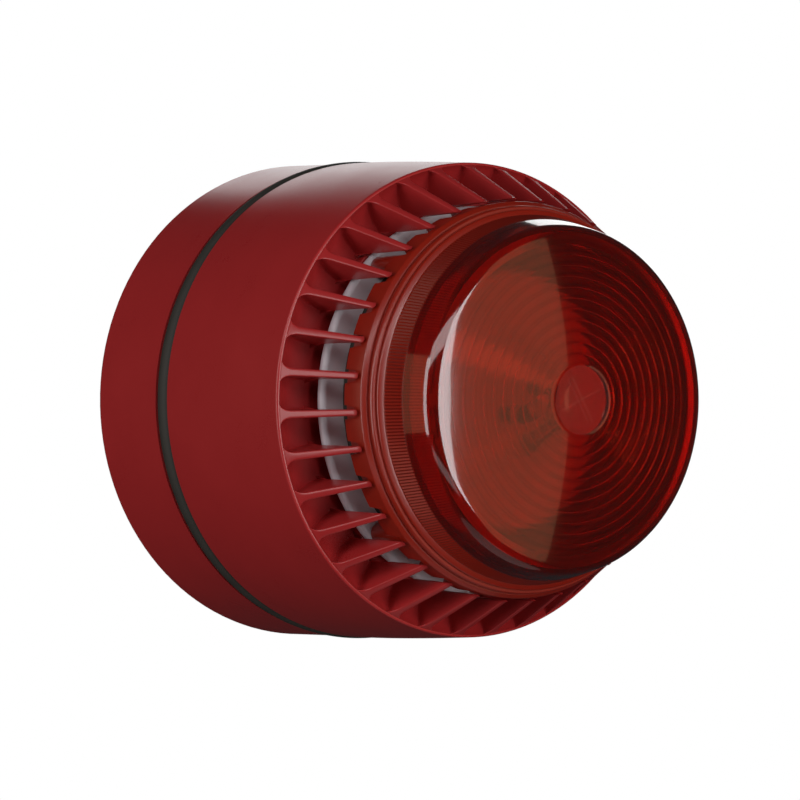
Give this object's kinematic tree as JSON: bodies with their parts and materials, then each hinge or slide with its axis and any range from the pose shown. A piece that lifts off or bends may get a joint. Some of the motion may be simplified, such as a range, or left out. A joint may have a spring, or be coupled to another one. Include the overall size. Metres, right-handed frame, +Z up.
{
  "type": "horn strobe",
  "caption": "Round red wall sounder and beacon: deep base, rubber gasket, twist-on head with a ring of radial fins round the sound slot, and a ringed red strobe lens.",
  "frame": {"origin": "centre of the fixing pattern in the flat back of the base, on the wall plane", "axes": "-Y points out of the wall through the lens, +Z up, +X to the right when seen from the front"},
  "size_m": [0.1, 0.093, 0.1],
  "materials": {
    "red_shell": "fine moulded satin, self-coloured ABS",
    "black_rubber": "soft matt rubber",
    "pale_plastic": "moulded",
    "brass_metal": "bright stamped",
    "plated_steel": "zinc plated",
    "board_green": "solder resist on glass fibre",
    "switch_red": "moulded",
    "control_blue": "moulded",
    "capacitor_dark": "shrink sleeve",
    "copper_wire": "enamelled winding",
    "black_plastic": "moulded",
    "piezo_ceramic": "silvered ceramic",
    "grey_plastic": "moulded satin",
    "board_white": "white solder resist",
    "white_plastic": "moulded reflector",
    "tube_glass": "clear glass tube",
    "red_lens": "transparent red polycarbonate with moulded rings"
  },
  "bodies": {
    "base": {"rear_base": "red_shell", "cable_grommet": "black_rubber", "base_gasket": "black_rubber", "terminal_block": "pale_plastic", "terminal_clamps": "brass_metal", "terminal_screws": "plated_steel", "contact_springs": "brass_metal"},
    "head": {"head_housing": "red_shell", "rear_cover": "red_shell", "cover_screws": "plated_steel", "main_board": "board_green", "contact_pads": "brass_metal", "switch_body": "switch_red", "volume_body": "control_blue", "capacitors": "capacitor_dark", "flash_capacitor": "capacitor_dark", "step_up_coil": "copper_wire", "control_chips": "black_plastic", "small_parts": "black_plastic", "driver_pins": "brass_metal", "driver_retainer": "black_plastic", "driver_screws": "plated_steel", "driver_seal": "black_rubber", "sounder_disc": "brass_metal", "sounder_ceramic": "piezo_ceramic", "horn_plate": "grey_plastic", "beacon_pins": "brass_metal", "beacon_board": "board_white", "beacon_screws": "plated_steel", "reflector": "white_plastic", "flash_tube": "tube_glass", "tube_ends": "plated_steel", "trigger_wire": "plated_steel", "trigger_coil": "copper_wire", "lens_seal": "black_rubber", "lens_screws": "plated_steel", "lens": "red_lens"},
    "volume_control": {"volume_rotor": "pale_plastic"},
    "switch_1": {"slider_1": "pale_plastic"},
    "switch_2": {"slider_2": "pale_plastic"},
    "switch_3": {"slider_3": "pale_plastic"},
    "switch_4": {"slider_4": "pale_plastic"},
    "switch_5": {"slider_5": "pale_plastic"}
  },
  "joints": [
    {"name": "head_twist", "type": "hinge", "parent": "base", "child": "head", "pos_m": [0, 0, 0], "axis": [0, -1, 0], "range_deg": [0, 20]},
    {"name": "volume_turn", "type": "hinge", "parent": "head", "child": "volume_control", "pos_m": [-0.02, -0.0408, -0.012], "axis": [0, -1, 0], "range_deg": [-135, 135]},
    {"name": "switch_1_slide", "type": "slide", "parent": "head", "child": "switch_1", "axis": [0, 0, 1], "range_m": [0, 0.0016]},
    {"name": "switch_2_slide", "type": "slide", "parent": "head", "child": "switch_2", "axis": [0, 0, 1], "range_m": [0, 0.0016]},
    {"name": "switch_3_slide", "type": "slide", "parent": "head", "child": "switch_3", "axis": [0, 0, 1], "range_m": [0, 0.0016]},
    {"name": "switch_4_slide", "type": "slide", "parent": "head", "child": "switch_4", "axis": [0, 0, 1], "range_m": [0, 0.0016]},
    {"name": "switch_5_slide", "type": "slide", "parent": "head", "child": "switch_5", "axis": [0, 0, 1], "range_m": [0, 0.0016]}
  ]
}
